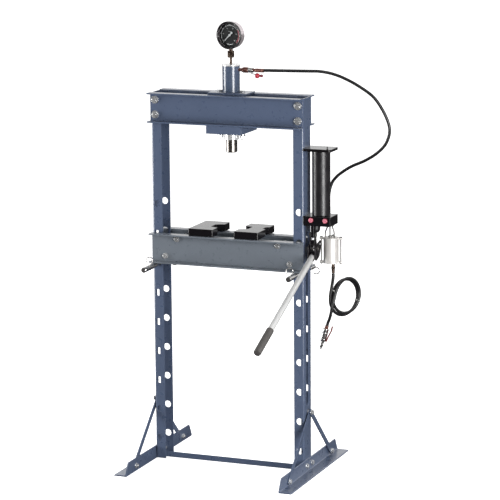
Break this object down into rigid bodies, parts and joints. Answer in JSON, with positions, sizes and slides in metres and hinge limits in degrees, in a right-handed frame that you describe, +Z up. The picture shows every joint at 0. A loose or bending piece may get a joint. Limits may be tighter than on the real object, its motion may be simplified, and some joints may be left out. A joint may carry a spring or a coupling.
{
  "type": "hydraulic workshop press",
  "caption": "Floor-standing H-frame air and hydraulic workshop press with ram, gauge, height-adjustable pinned bed and lever hand pump.",
  "frame": {"origin": "on the floor, at the centre of the box around the press without its hoses", "axes": "+Z up, +X to the operator's right when facing the press, -Y towards the operator (front)"},
  "size_m": [0.9557, 0.9081, 1.664],
  "materials": {
    "blue_grey_paint": "satin blue-grey enamel",
    "slate_paint": "satin slate-grey enamel",
    "black_steel": "semi-gloss black",
    "bright_steel": "bright, lightly brushed",
    "zinc_plate": "zinc-plated fasteners",
    "hard_chrome": "ground hard chrome",
    "brass": "dull turned brass",
    "copper": "reddish plated brass",
    "cast_aluminium": "bright bead-blasted",
    "black_rubber": "matt extruded rubber",
    "grip_rubber": "matt moulded",
    "red_plastic": "semi-matt red",
    "dial_black": "matt black dial",
    "needle_white": "matt white"
  },
  "bodies": {
    "frame": {"air_hose_coil": "black_rubber", "air_hose_lead": "black_rubber", "air_hose_tail": "black_rubber", "air_inlet_fitting": "brass", "air_motor": "cast_aluminium", "air_motor_bracket": "bright_steel", "air_valve_body": "bright_steel", "base_tie_bar": "blue_grey_paint", "coupler_body": "copper", "crown_channel_back": "blue_grey_paint", "crown_channel_front": "blue_grey_paint", "cylinder_barrel": "blue_grey_paint", "cylinder_gland": "hard_chrome", "cylinder_head_plate": "blue_grey_paint", "cylinder_tie_bolt_left": "zinc_plate", "cylinder_tie_bolt_right": "zinc_plate", "cylinder_top_plate": "blue_grey_paint", "dust_cap": "red_plastic", "gauge_adapter": "brass", "gauge_case": "bright_steel", "gauge_dial": "dial_black", "hose_elbow": "bright_steel", "hose_end_collar": "copper", "hydraulic_hose": "black_rubber", "left_back_brace": "blue_grey_paint", "left_foot": "blue_grey_paint", "left_front_brace": "blue_grey_paint", "left_upright": "blue_grey_paint", "lever_link": "black_steel", "lever_pivot_bolt": "zinc_plate", "oil_filler_plug": "red_plastic", "pump_block": "black_steel", "pump_reservoir": "black_steel", "pump_top_plate": "black_steel", "ram_return_spring": "bright_steel", "right_back_brace": "blue_grey_paint", "right_foot": "blue_grey_paint", "right_front_brace": "blue_grey_paint", "right_upright": "blue_grey_paint"},
    "bed": {"bed_channel_front": "slate_paint", "bed_channel_back": "slate_paint", "bed_spacer_left_upper": "zinc_plate", "bed_spacer_left_lower": "zinc_plate", "bed_spacer_right_upper": "zinc_plate", "bed_spacer_right_lower": "zinc_plate"},
    "plate_left": {"press_plate_left": "black_steel"},
    "plate_right": {"press_plate_right": "black_steel"},
    "pin_left": {"bed_pin_left": "bright_steel"},
    "pin_right": {"bed_pin_right": "bright_steel"},
    "clip_left": {"pin_clip_left": "bright_steel"},
    "clip_right": {"pin_clip_right": "bright_steel"},
    "ram": {"ram_piston_rod": "hard_chrome"},
    "pump_piston": {"pump_plunger": "bright_steel"},
    "handle": {"lever_socket": "black_steel", "handle_tube": "bright_steel", "handle_grip": "grip_rubber"},
    "release_valve": {"release_valve_knob": "red_plastic"},
    "needle": {"gauge_needle": "needle_white"},
    "coupler_lock": {"coupler_sleeve": "bright_steel"},
    "air_trigger": {"air_valve_lever": "bright_steel"}
  },
  "joints": [
    {"name": "ram_stroke", "type": "slide", "parent": "frame", "child": "ram", "axis": [0, 0, -1], "range_m": [0, 0.15], "stiffness_N_per_m": 200, "springref_m": -0.4, "deforming": ["ram_return_spring"]},
    {"name": "bed_height", "type": "slide", "parent": "frame", "child": "bed", "axis": [0, 0, 1], "range_m": [0, 0.112]},
    {"name": "plate_left_slide", "type": "slide", "parent": "bed", "child": "plate_left", "axis": [1, 0, 0], "range_m": [-0.04, 0.04]},
    {"name": "plate_right_slide", "type": "slide", "parent": "bed", "child": "plate_right", "axis": [1, 0, 0], "range_m": [-0.04, 0.04]},
    {"name": "pin_left_pull", "type": "slide", "parent": "frame", "child": "pin_left", "axis": [0, -1, 0], "range_m": [-0.01, 0.2]},
    {"name": "pin_right_pull", "type": "slide", "parent": "frame", "child": "pin_right", "axis": [0, -1, 0], "range_m": [-0.01, 0.2]},
    {"name": "clip_left_lift", "type": "slide", "parent": "pin_left", "child": "clip_left", "axis": [0, 0, 1], "range_m": [0, 0.03]},
    {"name": "clip_right_lift", "type": "slide", "parent": "pin_right", "child": "clip_right", "axis": [0, 0, 1], "range_m": [0, 0.03]},
    {"name": "pump_handle", "type": "hinge", "parent": "frame", "child": "handle", "pos_m": [0.29392, 0.11063, 0.85], "axis": [-1, 0, 0], "range_deg": [0, 50]},
    {"name": "plunger_stroke", "type": "slide", "parent": "frame", "child": "pump_piston", "axis": [0, 0, -1], "range_m": [0, 0.0262]},
    {"name": "release_valve_turn", "type": "hinge", "parent": "frame", "child": "release_valve", "pos_m": [0.28992, 0.10263, 0.956], "axis": [0, -1, 0], "range_deg": [0, 360]},
    {"name": "gauge_reading", "type": "hinge", "parent": "frame", "child": "needle", "pos_m": [-0.03508, 0.14463, 1.613], "axis": [0.1392, 0.9903, 0], "range_deg": [0, 270], "stiffness_Nm_per_rad": 0.002},
    {"name": "coupler_unlock", "type": "slide", "parent": "frame", "child": "coupler_lock", "axis": [1, 0, 0], "range_m": [0, 0.005], "stiffness_N_per_m": 300, "springref_m": -0.005},
    {"name": "air_trigger_squeeze", "type": "hinge", "parent": "frame", "child": "air_trigger", "pos_m": [0.32895, 0.15663, 0.49888], "axis": [0, -1, 0], "range_deg": [0, 6], "stiffness_Nm_per_rad": 0.2, "springref_deg": -17.19}
  ],
  "couplings": [
    {"joint": "plunger_stroke", "follows": "pump_handle", "m_per_rad": 0.02945}
  ]
}
